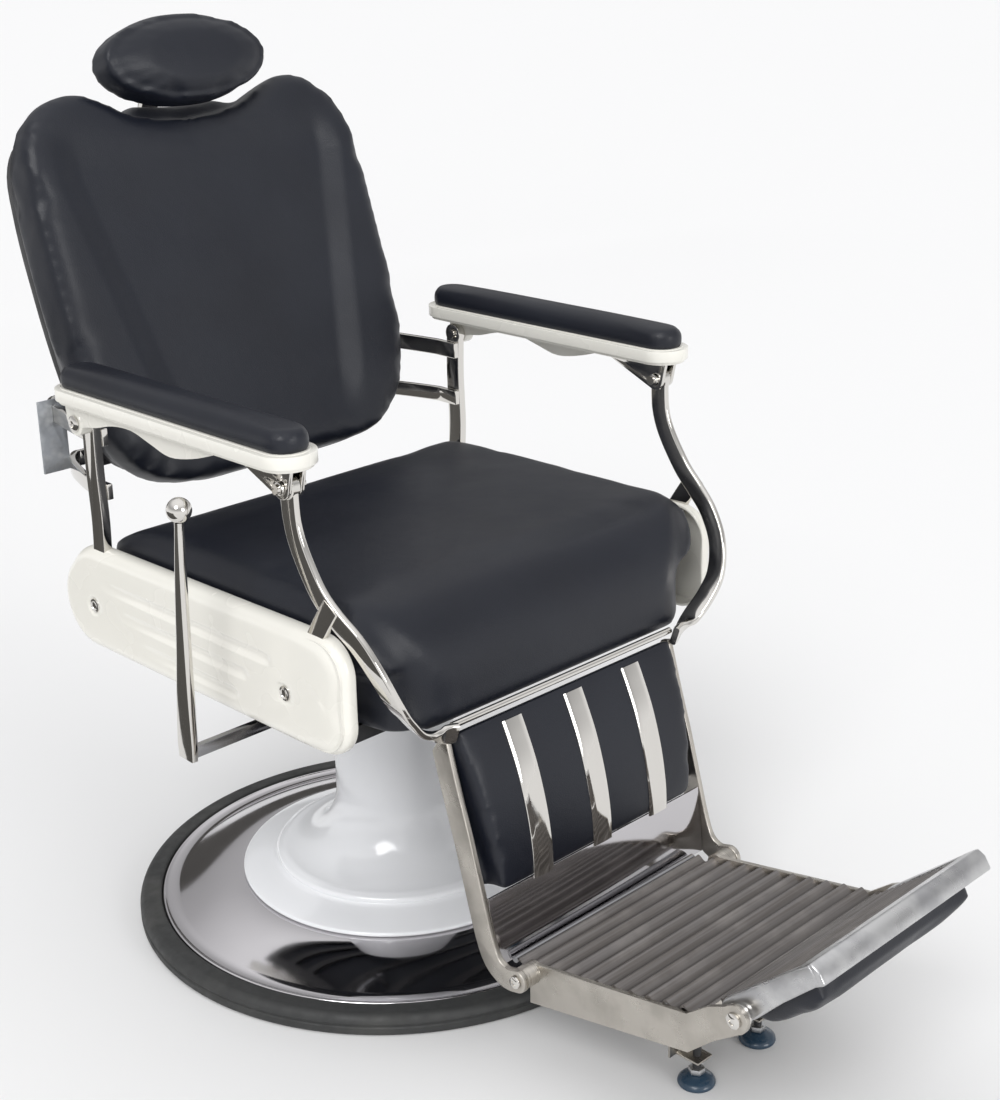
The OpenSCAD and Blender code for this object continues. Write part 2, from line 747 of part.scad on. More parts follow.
// Polished side plates with the eyes of the rear and front bolts
side = [tread_half_w, tread_half_w + 6];
module footrest_side_plates() {
    color([0.75, 0.74, 0.7]) both_sides() difference() {
        union() {
            side_plate(side) polygon([[-414, 140], [-414, 88], [-538, 113], [-643, 136], [-676, 166],
                [-712, 192], [-702, 220], [-668, 204], [-640, 182]]);
            x_bar([side[0], leg_x[0] - gap], foot_pivot, 13);
            x_bar(side, flip_pivot, 16);
        }
        x_bar([150, 200], foot_pivot, 6 + running);
        x_bar([150, 200], flip_pivot, 6 + running);
    }
}

// Bolts of the rear pivot, fixed in the leg bars
module footrest_bolts() {
    color([0.85, 0.85, 0.87]) both_sides() {
        x_bar([side[0] + 1, 195], foot_pivot, 6);
        x_bar([194, 199], foot_pivot, 9);
    }
}

// ---------- flip-over step ----------

flip_dir = [-0.77, 0.638];
flip_up = [0.638, 0.77];
flip_len = 160;
function flip_at(s, h) = flip_pivot + flip_dir * s + flip_up * h;

// Ribbed cast step with its side arms and hinge bolts
module flip_step() {
    ribs = 6;
    n = ribs * 6;
    color([0.72, 0.72, 0.72]) {
        side_plate([-140, 140]) polygon(concat(
            [for (i = [0 : n]) flip_at(-20 + (flip_len - 40) * i / n, 18 + 3 * cos(360 * ribs * i / n))],
            [flip_at(flip_len - 60, 12), flip_at(-20, 12)]));
        side_plate([-154, 154]) polygon([flip_at(flip_len - 62, 24), flip_at(flip_len - 40, 24),
            flip_at(flip_len - 38, -2), flip_at(flip_len - 62, 4)]);
        both_sides() {
            side_plate([140, 154]) polygon([flip_at(-22, 20), flip_at(flip_len - 40, 24),
                flip_at(flip_len - 40, 0), flip_at(10, -10), flip_at(-22, 2)]);
            x_bar([140, side[1] + 5], flip_pivot, 6);
            x_bar([side[1] + gap, side[1] + 5], flip_pivot, 9);
        }
    }
}

// Vinyl pad under the step, which faces up when the step is folded back
module flip_pad() {
    color([0.05, 0.05, 0.06]) side_plate([-139, 139])
        polygon([flip_at(-10, 11.5), flip_at(flip_len - 63, 11.5), flip_at(flip_len - 66, -18),
            flip_at(flip_len - 84, -24), flip_at(16, -24), flip_at(-6, -12)]);
}

// ---------- levelling feet ----------

// Threaded foot, screwed into a bracket under the tread
module levelling_foot() {
    color([0.1, 0.13, 0.2]) translate([foot_at[0], foot_at[1], 0]) {
        cylinder(h = 6, r = 22);
        translate([0, 0, 6]) cylinder(h = 6, r1 = 20, r2 = 10);
        translate([0, 0, 11]) cylinder(h = 110, r = 5);
        translate([0, 0, 14]) cylinder(h = 7, r = 10, $fn = 6);
    }
}
module left_levelling_foot() levelling_foot();
module right_levelling_foot() mirror([1, 0, 0]) levelling_foot();

ballast_plate();
rubber_rim();
base_dish();
pedestal_cover();
pump_cylinder();
pump_flange_bolts();
guide_bush();
lift_ram();
ram_piston();
bearing_cup();
swivel_hub();
seat_frame();
seat_board();
seat_cushion();
left_side_panel();
right_side_panel();
panel_screws();
front_pivot_shafts();
rear_pivot_shafts();
brake_caliper();
lever_shaft();
pump_lever();
lever_knob();
left_rear_post();
right_rear_post();
rear_pivot_bushes();
rear_arm_bolts();
back_stubs();
back_frame();
backrest_cushion();
back_plates();
headrest_socket();
recline_quadrant();
headrest_post();
headrest_board();
headrest_pad();
left_front_post();
right_front_post();
front_pivot_bushes();
front_arm_pins();
left_leg_bar();
right_leg_bar();
leg_cross_rod();
leg_pad_board();
leg_pad();
leg_pad_strips();
riser_plate();
left_arm_shell();
right_arm_shell();
left_arm_pad();
right_arm_pad();
left_arm_bracket();
right_arm_bracket();
footrest_tread();
footrest_side_plates();
footrest_bolts();
flip_step();
flip_pad();
left_levelling_foot();
right_levelling_foot();
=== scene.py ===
"""Looks of a hydraulic barber chair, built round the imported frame.

The frame is in metres: +Z is up, the sitter faces -Y and the pump lever is on the -X side.
Shapes are written in millimetres and turned into metres when their mesh is made.
"""

import json
import math

import bmesh
import bpy
import numpy as np
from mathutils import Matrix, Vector


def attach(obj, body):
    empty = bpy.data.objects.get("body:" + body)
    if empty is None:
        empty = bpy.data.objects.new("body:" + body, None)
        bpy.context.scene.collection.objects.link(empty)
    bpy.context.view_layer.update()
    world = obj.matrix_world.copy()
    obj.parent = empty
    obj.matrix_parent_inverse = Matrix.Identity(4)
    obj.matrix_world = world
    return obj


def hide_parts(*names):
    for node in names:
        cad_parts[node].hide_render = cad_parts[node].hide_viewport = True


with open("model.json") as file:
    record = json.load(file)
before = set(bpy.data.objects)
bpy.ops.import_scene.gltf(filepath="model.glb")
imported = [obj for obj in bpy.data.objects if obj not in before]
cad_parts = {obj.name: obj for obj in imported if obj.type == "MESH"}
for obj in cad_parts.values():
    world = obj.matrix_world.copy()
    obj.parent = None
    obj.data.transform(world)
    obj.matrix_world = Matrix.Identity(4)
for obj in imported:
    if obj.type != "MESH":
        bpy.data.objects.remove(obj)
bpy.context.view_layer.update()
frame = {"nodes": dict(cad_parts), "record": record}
MM = 0.001
scene = bpy.context.scene
slot_of = {s["node"]: s["material_slot"] for s in frame["record"]["subparts"]}
body_of = {n: b for b, nodes in frame["record"]["behaviour"]["bodies"].items() for n in nodes}


# ---------- camera ----------

CAMERA_AT = (-1.377, -1.614, 1.261)
CAMERA_TURN = (-44.39, 20.13, -1.04)     # azimuth, elevation and roll in degrees
LENS_MM = 57.67
FAR_CLIP = 200


def make_camera():
    azimuth, elevation, roll = (math.radians(a) for a in CAMERA_TURN)
    level = math.cos(elevation)
    back = Vector((math.sin(azimuth) * level, -math.cos(azimuth) * level, math.sin(elevation)))
    right = (-back).cross(Vector((0, 0, 1))).normalized()
    up = right.cross(-back).normalized()
    x = right * math.cos(roll) + up * math.sin(roll)
    y = up * math.cos(roll) - right * math.sin(roll)
    data = bpy.data.cameras.new("camera")
    data.lens = LENS_MM
    data.clip_end = FAR_CLIP
    camera = bpy.data.objects.new("camera", data)
    scene.collection.objects.link(camera)
    matrix = camera.matrix_world
    for row in range(3):
        matrix[row][0], matrix[row][1], matrix[row][2] = x[row], y[row], back[row]
        matrix[row][3] = CAMERA_AT[row]
    camera.matrix_world = matrix
    scene.camera = camera


make_camera()


# ---------- materials ----------


class Finish:
    """A Principled material with short calls for its nodes. Its textures are in the frame's own metres."""

    def __init__(self, name, color, rough, metal=0.0, **sockets):
        self.material = bpy.data.materials.new(name)
        self.material.use_nodes = True
        self.nodes = self.material.node_tree.nodes
        self.links = self.material.node_tree.links
        self.shader = self.nodes["Principled BSDF"]
        self.color = (*color, 1)
        self.shader.inputs["Base Color"].default_value = self.color
        self.shader.inputs["Roughness"].default_value = rough
        self.shader.inputs["Metallic"].default_value = metal
        for socket, value in sockets.items():
            self.shader.inputs[socket.replace("_", " ")].default_value = value
        self.place = self.nodes.new("ShaderNodeTexCoord").outputs["Object"]
        self.normal = None

    def node(self, kind, **inputs):
        made = self.nodes.new("ShaderNode" + kind)
        for key, value in inputs.items():
            socket = made.inputs[key.replace("_", " ")]
            if isinstance(value, bpy.types.NodeSocket):
                self.links.new(value, socket)
            else:
                socket.default_value = value
        return made

    def noise(self, scale, detail, stretch=(1, 1, 1)):
        place = self.node("Mapping", Vector=self.place, Scale=stretch).outputs[0]
        return self.node("TexNoise", Vector=place, Scale=scale, Detail=detail).outputs["Fac"]

    def cells(self, scale):
        return self.node("TexVoronoi", Vector=self.place, Scale=scale).outputs[0]

    def spread(self, value, low, high, start, end):
        """Maps value from start and end to low and high."""
        made = self.node("MapRange", Value=value)
        made.inputs["From Min"].default_value = start
        made.inputs["From Max"].default_value = end
        made.inputs["To Min"].default_value = low
        made.inputs["To Max"].default_value = high
        return made.outputs[0]

    def roughen(self, value, low, high, start=0.3, end=0.7):
        self.links.new(self.spread(value, low, high, start, end), self.shader.inputs["Roughness"])
        return self

    def tint(self, value, other, start=0.35, end=0.65, amount=1.0):
        """Blends the colour so far towards another one as value goes from start to end."""
        mix = self.nodes.new("ShaderNodeMix")
        mix.data_type = "RGBA"
        self.links.new(self.spread(value, 0, amount, start, end), mix.inputs["Factor"])
        before = self.shader.inputs["Base Color"]
        if before.is_linked:
            self.links.new(before.links[0].from_socket, mix.inputs["A"])
        else:
            mix.inputs["A"].default_value = self.color
        mix.inputs["B"].default_value = (*other, 1)
        self.links.new(mix.outputs["Result"], self.shader.inputs["Base Color"])
        return self

    def bump(self, height, distance, strength=1.0):
        made = self.node("Bump", Height=height, Distance=distance, Strength=strength)
        if self.normal:
            self.links.new(self.normal, made.inputs["Normal"])
        self.normal = made.outputs[0]
        self.links.new(self.normal, self.shader.inputs["Normal"])
        return self


def vinyl():
    f = Finish("black_vinyl", (0.0045, 0.0058, 0.0115), 0.42, Specular_IOR_Level=0.42)
    f.roughen(f.noise(9, 4), 0.37, 0.47)
    f.tint(f.noise(5, 3), (0.0075, 0.0095, 0.0165))
    f.bump(f.noise(45, 3), 0.0012, 0.25)
    return f.bump(f.cells(700), 0.00022, 0.5).bump(f.noise(2200, 2), 0.00008, 0.4)


def chrome(name="chrome", color=(0.70, 0.68, 0.645), low=0.03, high=0.10):
    f = Finish(name, color, 0.06, 1.0)
    f.roughen(f.noise(35, 5), low, high)
    return f.bump(f.noise(22, 2), 0.0004, 0.12)


def stainless():
    f = Finish("polished_stainless", (0.60, 0.585, 0.60), 0.1, 1.0)
    f.roughen(f.noise(14, 6), 0.05, 0.13)
    f.tint(f.noise(3, 4), (0.53, 0.515, 0.53))
    return f.bump(f.noise(6, 1), 0.0015, 0.06)


def enamel():
    f = Finish("white_enamel", (0.90, 0.91, 0.93), 0.14, Coat_Weight=0.6, Coat_Roughness=0.05)
    f.roughen(f.noise(12, 3), 0.12, 0.22)
    return f.bump(f.noise(130, 2), 0.0002, 0.12)


def cream():
    f = Finish("cream_shell", (0.80, 0.785, 0.72), 0.26, Coat_Weight=0.4, Coat_Roughness=0.07)
    f.tint(f.noise(2.5, 2), (0.815, 0.80, 0.74))
    f.roughen(f.noise(14, 2), 0.24, 0.29)
    return f.bump(f.noise(60, 1), 0.0001, 0.08)


def rubber():
    f = Finish("rubber", (0.030, 0.031, 0.031), 0.55)
    f.tint(f.noise(10, 6), (0.060, 0.060, 0.056), 0.5, 0.8)
    f.roughen(f.noise(60, 5), 0.45, 0.75)
    return f.bump(f.noise(500, 3), 0.0003, 0.5)


def brushed_steel():
    along = (8, 0.4, 0.4)
    # The beige in both colours here is a painted reflection of a beige wall; the grey under it is the steel's
    # own colour.
    f = Finish("flat_steel", (0.52, 0.49, 0.445), 0.3, 1.0, Anisotropic=0.35)
    f.tint(f.noise(60, 5, along), (0.43, 0.405, 0.365), 0.4, 0.62)
    f.roughen(f.noise(90, 4, along), 0.22, 0.42)
    return f.bump(f.noise(160, 3, along), 0.0002, 0.25)


def tread_metal():
    f = Finish("tread_aluminium", (0.20, 0.187, 0.182), 0.45, 0.7)
    lines = f.noise(55, 6, (0.12, 6, 6))
    f.tint(lines, (0.165, 0.15, 0.14), 0.42, 0.6)
    f.tint(f.noise(18, 4), (0.29, 0.27, 0.255), 0.5, 0.75, 0.7)
    # The hollows between the ribs are darkened here as painted shade.
    groove_shade = f.nodes.new("ShaderNodeAttribute")
    groove_shade.attribute_name = "groove_shade"
    f.tint(groove_shade.outputs["Fac"], (0.07, 0.064, 0.06), 0.45, 1.0, 0.7)
    f.roughen(lines, 0.34, 0.56)
    return f.bump(f.noise(120, 4, (0.1, 5, 5)), 0.0004, 0.4)


def cast_metal():
    f = Finish("cast_aluminium", (0.60, 0.60, 0.60), 0.3, 1.0)
    f.tint(f.noise(22, 6), (0.45, 0.45, 0.46), 0.45, 0.65)
    f.roughen(f.noise(30, 5), 0.18, 0.42)
    return f.bump(f.noise(70, 3), 0.0006, 0.25)


def galvanised():
    f = Finish("galvanised", (0.50, 0.52, 0.545), 0.42, 0.75)
    f.tint(f.cells(110), (0.40, 0.42, 0.45), 0.2, 0.7)
    return f.roughen(f.cells(110), 0.32, 0.55, 0.1, 0.7)


def painted(name, color, rough, grain=400):
    f = Finish(name, color, rough)
    f.roughen(f.noise(40, 4), rough - 0.08, rough + 0.12)
    return f.bump(f.noise(grain, 2), 0.00025, 0.4)


def metal(name, color, low, high):
    f = Finish(name, color, low, 1.0)
    f.tint(f.noise(30, 5), tuple(0.75 * c for c in color), 0.4, 0.7)
    return f.roughen(f.noise(60, 5), low, high)


def plywood():
    f = Finish("plywood", (0.50, 0.34, 0.19), 0.65)
    f.tint(f.noise(30, 6, (1, 0.15, 1)), (0.38, 0.24, 0.12), 0.4, 0.6)
    return f.bump(f.noise(150, 4, (1, 0.1, 1)), 0.0003, 0.5)


def foot_plastic():
    f = Finish("foot_plastic", (0.022, 0.05, 0.085), 0.25, Coat_Weight=0.3)
    f.roughen(f.noise(80, 4), 0.18, 0.4)
    return f.bump(f.noise(300, 2), 0.0002, 0.3)


FINISHES = {
    "rubber": rubber(),
    "polished_stainless": stainless(),
    "white_enamel": enamel(),
    "cream_shell": cream(),
    "chrome": chrome(),
    "dark_chrome": chrome("dark_chrome", (0.30, 0.30, 0.31), 0.08, 0.2),
    "flat_steel": brushed_steel(),
    "black_vinyl": vinyl(),
    "cast_iron": painted("cast_iron", (0.03, 0.03, 0.032), 0.5, 250),
    "bronze": metal("bronze", (0.60, 0.41, 0.18), 0.2, 0.4),
    "machined_steel": metal("machined_steel", (0.50, 0.50, 0.51), 0.2, 0.4),
    "frame_steel": painted("frame_steel", (0.025, 0.025, 0.027), 0.42),
    "plywood": plywood(),
    "tread_aluminium": tread_metal(),
    "galvanised": galvanised(),
    "foot_plastic": foot_plastic(),
}
CAST = cast_metal()
ZINC = metal("zinc", (0.62, 0.63, 0.64), 0.22, 0.4)
DARK_CARD = painted("dark_card", (0.06, 0.057, 0.052), 0.8)

for node, cad in frame["nodes"].items():
    cad.data.materials.clear()
    cad.data.materials.append(FINISHES[slot_of[node]].material)


# ---------- mesh helpers ----------


def make(name, verts, faces, sharp=35):
    """A mesh object from points in millimetres, shaded smooth up to an angle."""
    mesh = bpy.data.meshes.new(name)
    mesh.from_pydata([tuple(float(c) * MM for c in v) for v in verts], [], faces)
    return link(name, mesh, sharp)


def link(name, mesh, sharp=35):
    mesh.validate()
    bm = bmesh.new()
    bm.from_mesh(mesh)
    bmesh.ops.recalc_face_normals(bm, faces=bm.faces)
    bm.to_mesh(mesh)
    bm.free()
    mesh.shade_smooth()
    mesh.set_sharp_from_angle(angle=math.radians(sharp))
    made = bpy.data.objects.new(name, mesh)
    scene.collection.objects.link(made)
    return made


def trim(piece, node, finish=None):
    """An added piece that rides with a CAD node, which may stay shown."""
    slot = slot_of[node]
    piece.data.materials.clear()
    piece.data.materials.append((finish or FINISHES[slot]).material)
    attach(piece, body_of[node])


def dress(piece, *nodes):
    """The piece stands for these CAD nodes: it rides on their body and takes the first one's finish."""
    trim(piece, nodes[0])
    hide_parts(*nodes)


def mirrored(v):
    return [(-p[0], p[1], p[2]) for p in v]


def curve_through(points, n):
    """Catmull-Rom curve through the points, with n steps between neighbours."""
    p = [np.array(q, float) for q in points]
    out = []
    for i in range(len(p) - 1):
        a, b, c, d = p[max(i - 1, 0)], p[i], p[i + 1], p[min(i + 2, len(p) - 1)]
        for k in range(n):
            t = k / n
            out.append(0.5 * (2 * b + (c - a) * t + (2 * a - 5 * b + 4 * c - d) * t ** 2
                              + (3 * b - a - 3 * c + d) * t ** 3))
    return out + [p[-1]]


def arc(centre, radius, start, end, n):
    """Points on an arc, angles in degrees."""
    turns = [math.radians(start + (end - start) * i / n) for i in range(n + 1)]
    return [(centre[0] + radius * math.cos(a), centre[1] + radius * math.sin(a)) for a in turns]


def rounded_rect(w, t, r, n):
    """Closed section, w wide and t thick, with n steps round each corner."""
    r = min(r, w / 2 - 0.01, t / 2 - 0.01)
    corners = [((w / 2 - r, t / 2 - r), 0), ((-w / 2 + r, t / 2 - r), 90),
               ((-w / 2 + r, -t / 2 + r), 180), ((w / 2 - r, -t / 2 + r), 270)]
    return [p for c, a in corners for p in arc(c, r, a, a + 90, n)]


def loft(rings, caps=True):
    """Points and faces of a surface through closed rings of equal length."""
    n = len(rings[0])
    verts = [tuple(p) for ring in rings for p in ring]
    faces = [(i * n + k, i * n + (k + 1) % n, (i + 1) * n + (k + 1) % n, (i + 1) * n + k)
             for i in range(len(rings) - 1) for k in range(n)]
    if caps:
        faces += [tuple(range(n))[::-1], tuple((len(rings) - 1) * n + k for k in range(n))]
    return verts, faces


def combine(*parts):
    """Joins several (points, faces) pairs into one."""
    verts, faces = [], []
    for v, f in parts:
        faces += [tuple(i + len(verts) for i in face) for face in f]
        verts += list(v)
    return verts, faces


def rings_round(profile, at, steps):
    """Rings for a profile of (radius, height) round the vertical line through a point."""
    turns = [2 * math.pi * k / steps for k in range(steps)]
    return [[(at[0] + r * math.cos(a), at[1] + r * math.sin(a), at[2] + z) for a in turns]
            for r, z in profile]


def lathe(profile, steps):
    """Turns a closed profile of (radius, height) round Z, its last ring joined to its first."""
    verts, faces = loft(rings_round(profile, (0, 0, 0), steps), caps=False)
    last = (len(profile) - 1) * steps
    joined = [(last + k, last + (k + 1) % steps, (k + 1) % steps, k) for k in range(steps)]
    return verts, faces + joined


def spindle(profile, at, steps=40, outward=1):
    """Turns a profile of (radius, distance along X) round an axis along X, closed at both ends."""
    turns = [2 * math.pi * k / steps for k in range(steps)]
    return loft([[(at[0] + outward * x, at[1] + r * math.cos(a), at[2] + r * math.sin(a)) for a in turns]
                 for r, x in profile])


def pin(radius, length):
    """Profile of a plain round bar, for spindle."""
    return [(0.1, 0), (radius, 0), (radius, length), (0.1, length)]


def sweep(path, sections):
    """Sweeps sections of (width, thickness) along a path, their thickness facing X as far as it can."""
    rings = []
    for i, (p, section) in enumerate(zip(path, sections)):
        d = path[min(i + 1, len(path) - 1)] - path[max(i - 1, 0)]
        d = d / np.linalg.norm(d)
        f = np.array([1.0, 0, 0]) - d[0] * d
        f = f / np.linalg.norm(f)
        s = np.cross(d, f)
        rings.append([p + s * a + f * b for a, b in section])
    return loft(rings)


MERGE_M, FLAT_DEG, BEVEL_FROM_DEG, SHARP_DEG = 0.00002, 1.0, 32, 40


def rounded(name, mesh_or_parts, width, segments=3):
    """A solid with its sharp edges rounded by a bevel."""
    if isinstance(mesh_or_parts, tuple):
        mesh = bpy.data.meshes.new(name)
        mesh.from_pydata([tuple(float(c) * MM for c in v) for v in mesh_or_parts[0]], [], mesh_or_parts[1])
    else:
        mesh = mesh_or_parts
    bm = bmesh.new()
    bm.from_mesh(mesh)
    bmesh.ops.remove_doubles(bm, verts=bm.verts, dist=MERGE_M)
    bmesh.ops.dissolve_limit(bm, angle_limit=math.radians(FLAT_DEG), verts=bm.verts, edges=bm.edges)
    bmesh.ops.recalc_face_normals(bm, faces=bm.faces)
    bm.to_mesh(mesh)
    bm.free()
    made = bpy.data.objects.new(name, mesh)
    scene.collection.objects.link(made)
    bevel = made.modifiers.new("rounding", "BEVEL")
    bevel.width = width * MM
    bevel.segments = segments
    bevel.limit_method = "ANGLE"
    bevel.angle_limit = math.radians(BEVEL_FROM_DEG)
    apply_modifiers(made)
    made.data.shade_smooth()
    made.data.set_sharp_from_angle(angle=math.radians(SHARP_DEG))
    return made


def apply_modifiers(made):
    depsgraph = bpy.context.evaluated_depsgraph_get()
    mesh = bpy.data.meshes.new_from_object(made.evaluated_get(depsgraph))
    made.modifiers.clear()
    made.data = mesh


def soften(node, width):
    """Replaces a CAD node by a copy with rounded edges."""
    dress(rounded(node + "_rounded", frame["nodes"][node].data.copy(), width), node)


def prism(outline, x0, x1):
    """A plate from x0 to x1 with its outline in (y, z)."""
    return loft([[(x, y, z) for y, z in outline] for x in (x0, x1)])


# ---------- base ----------

BASE_R, RIM_H, DISH_TOP, DISH_THICK, NECK_R, NECK_TOP, COVER_THICK = 350, 28, 47, 1.8, 80, 330, 4


def build_base():
    rim = [(303, 0), (BASE_R - 6, 0)] + arc((BASE_R - 6, 6), 6, -80, 0, 5) + [(BASE_R, 11)]
    rim += [(BASE_R - 1.6, 12.4), (BASE_R - 1.6, 14)] + arc((BASE_R - 12, RIM_H - 12.5), 12, 8, 90, 9)
    rim += [(332, RIM_H - 0.5), (328, RIM_H)] + arc((324.5, RIM_H - 3.5), 3.5, 80, 190, 6)
    rim += [(320, 22), (303, 22)]
    dress(make("rubber_rim_ribbed", *lathe(rim, 200)), "rubber_rim")

    rise = [(300 - 90 * i / 24, 24.6 + (DISH_TOP - 24.6) * math.sin(math.radians(90 * i / 24)))
            for i in range(25)]
    bead = arc((317.4, 24.4), 2.2, -60, 150, 8)
    top = bead + [(312, 24.4), (306, 24.2)] + rise + [(150, DISH_TOP), (62, DISH_TOP)]
    under = [(62, DISH_TOP - DISH_THICK)] + [(r, z - DISH_THICK) for r, z in rise[::-1]] + [(312, 22.2)]
    dress(make("base_dish_polished", *lathe(top + under, 240)), "base_dish")

    flange = arc((206.5, DISH_TOP + 3.4), 3.4, -70, 80, 7)
    slope = [(200, 56), (182, 60.3), (170, 63.4), (165.5, 65.2)]
    ring = arc((158, 70.2), 5.6, -25, 75, 8) + [(157, 76.6), (155, 78)]
    flare = [(154 - (154 - NECK_R) * math.sin(a), 158 - 80 * math.cos(a))
             for a in (math.radians(3 * i) for i in range(1, 31))]
    neck = [(NECK_R, 200), (NECK_R, 260), (NECK_R, NECK_TOP - 3)]
    neck += arc((NECK_R - 3, NECK_TOP - 3), 3, 10, 90, 4)
    inner = [(53, NECK_TOP), (53, NECK_TOP - COVER_THICK), (NECK_R - COVER_THICK, NECK_TOP - COVER_THICK)]
    inner += [(r - COVER_THICK, z - COVER_THICK) for r, z in flare[::-3]]
    inner += [(148, 72), (148, 62), (200, 50), (200, DISH_TOP)]
    trumpet = flange + slope + ring + flare + neck + inner
    dress(make("pedestal_trumpet", *lathe(trumpet, 240)), "pedestal_cover")


build_base()


# ---------- side panels ----------

FRONT_PIVOT, REAR_PIVOT, PIVOT_Z = -184, 196, 450
BOLT_STEPS = 36
PANEL_X = (290, 314)
PANEL_CORNERS = [((-240, 434), 42), ((-240, 490), 42), ((208, 450), 60), ((192, 464), 62)]
PANEL_POINTS, PANEL_EDGE, PANEL_NOSE, PANEL_WALL = 220, 15.0, 19, 3.6


def panel_outline():
    """Convex outline round the four corner circles of a panel, as points of (y, z)."""
    cloud = np.array([p for c, r in PANEL_CORNERS for p in arc(c, r, 0, 360, 90)])
    dense = []
    for k in range(PANEL_POINTS):
        a = 2 * math.pi * k / PANEL_POINTS
        d = np.array([math.cos(a), math.sin(a)])
        dense.append(cloud[np.argmax(cloud @ d)])
    hull = [dense[0]]
    for p in dense[1:]:
        if np.linalg.norm(p - hull[-1]) > 0.2:
            hull.append(p)
    if np.linalg.norm(hull[-1] - hull[0]) < 0.2:
        hull.pop()
    return resample(hull, PANEL_POINTS)


def resample(loop, n):
    """Points at equal distances along a closed loop."""
    p = np.array(list(loop) + [loop[0]], float)
    at = np.concatenate([[0], np.cumsum(np.linalg.norm(np.diff(p, axis=0), axis=1))])
    want = np.linspace(0, at[-1], n, endpoint=False)
    return np.stack([np.interp(want, at, p[:, k]) for k in range(2)], axis=1)


FLUTES = [(164, -152, 483), (128, -110, 452), (86, -88, 421)]     # rear end, front end, height
FLUTE_DEEP, FLUTE_HALF_W = 3.2, 8.5
SEAT_DEEP, SEAT_R, SEAT_SLOPE = 2.6, 13.5, 4.0


def flute_depth(y, z):
    """How deep the nearest flute is at a point of the panel's face."""
    depth = 0.0
    for back, front, height in FLUTES:
        along = min(max(y, front), back)
        d = math.hypot(y - along, z - height)
        run_out = min(1.0, (back - y) / 120 + 0.15) if y < back else 0.15
        depth = max(depth, FLUTE_DEEP * run_out * max(0.0, 1 - (d / FLUTE_HALF_W) ** 2) ** 1.2)
    return depth


def screw_seat(y, z):
    """Depth of the round recess of a screw."""
    d = min(math.hypot(y - c, z - PIVOT_Z) for c in (FRONT_PIVOT, REAR_PIVOT))
    return SEAT_DEEP * min(1.0, max(0.0, (SEAT_R - d) / SEAT_SLOPE))


def side_panel(sign):
    """A hollow moulded panel with a rounded edge, a rounder nose, flutes and screw seats."""
    outline = panel_outline()
    centre_line = np.stack([np.clip(outline[:, 0], -240, 196), np.full(len(outline), 460.0)], axis=1)
    inward = centre_line - outline
    step = inward / np.linalg.norm(inward, axis=1, keepdims=True)
    nose = np.clip((-200 - outline[:, :1]) / 82, 0, 1) ** 1.5
    reach = PANEL_EDGE + PANEL_NOSE * nose
    outer = PANEL_X[1] - 1.0

    def ring(points, x):
        return [(x, y, z) for y, z in points]

    rings = [ring(outline + step * PANEL_WALL, PANEL_X[0] + 0.3), ring(outline + step * 1.0, PANEL_X[0]),
             ring(outline, PANEL_X[0] + 1.2)]
    for turn in range(0, 91, 9):
        a = math.radians(turn)
        rings.append(ring(outline + step * (reach * (1 - math.cos(a))),
                          outer - PANEL_EDGE + PANEL_EDGE * math.sin(a)))
    edge = outline + step * reach
    for k in range(1, 45):
        share = k / 44
        dome = 1 - (1 - share) ** 2
        rings.append([(outer + dome - flute_depth(y, z) - screw_seat(y, z), y, z)
                      for y, z in edge + (centre_line - edge) * share])
    verts, faces = loft(rings, caps=False)
    base, n = len(verts), len(outline)
    verts += ring(outline + step * (PANEL_WALL + 2), PANEL_X[1] - 5.0)
    faces += [(base + (k + 1) % n, base + k, k, (k + 1) % n) for k in range(n)]
    faces.append(tuple(range(base, base + n)))
    return [(v[0] * sign, v[1], v[2]) for v in verts], faces


def build_panels():
    for side, sign in (("left", 1), ("right", -1)):
        name = side + "_side_panel"
        made = make(name + "_moulded", *side_panel(sign), sharp=60)
        bm = bmesh.new()
        bm.from_mesh(made.data)
        bmesh.ops.remove_doubles(bm, verts=bm.verts, dist=0.0002)
        bmesh.ops.recalc_face_normals(bm, faces=bm.faces)
        bm.to_mesh(made.data)
        bm.free()
        dress(made, name)
    head = [(4, -4), (8.6, -4), (9, -2.4), (8.6, -1.5), (6.4, -1.2), (5.6, -2.4), (3.4, -3.0), (0.1, -3.2)]
    parts = [spindle(head, (sign * (PANEL_X[1] + 0.6), y, PIVOT_Z), BOLT_STEPS, sign)
             for sign in (1, -1) for y in (FRONT_PIVOT, REAR_PIVOT)]
    dress(make("panel_screws_turned", *combine(*parts)), "panel_screws")


build_panels()


# ---------- posts ----------

POST_X = (294, 306)
POST_MID = 300
ARM_FRONT, ARM_REAR, ARM_PIVOT_Z = -198, 182, 690
FRONT_LINE = [(POST_MID, ARM_FRONT, ARM_PIVOT_Z), (POST_MID, -200, 652), (POST_MID, -211, 620),
              (POST_MID, -237, 580), (298, -262, 556), (292, -289, 532), (284, -310, 500), (270, -320, 464),
              (252, -319, 438), (230, -315, 416), (209, -317, 407), (186, -324, 404)]
BRANCH_LINE = [(POST_MID, -260, 570), (POST_MID, -243, 546), (POST_MID, -224, 517), (POST_MID, -203, 485),
               (POST_MID, FRONT_PIVOT, PIVOT_Z + 4)]


def eye(x0, x1, y, z, radius):
    """A round boss along X with rounded rims."""
    r, length = 1.5, x1 - x0
    return spindle([(0.1, 0), (radius - r, 0), (radius, r), (radius, length - r), (radius - r, length),
                    (0.1, length)], (x0, y, z))


def post_bar(line, thickness):
    path = curve_through(line, 8)
    return sweep(path, [rounded_rect(25, thickness, 2.4, 3)] * len(path))


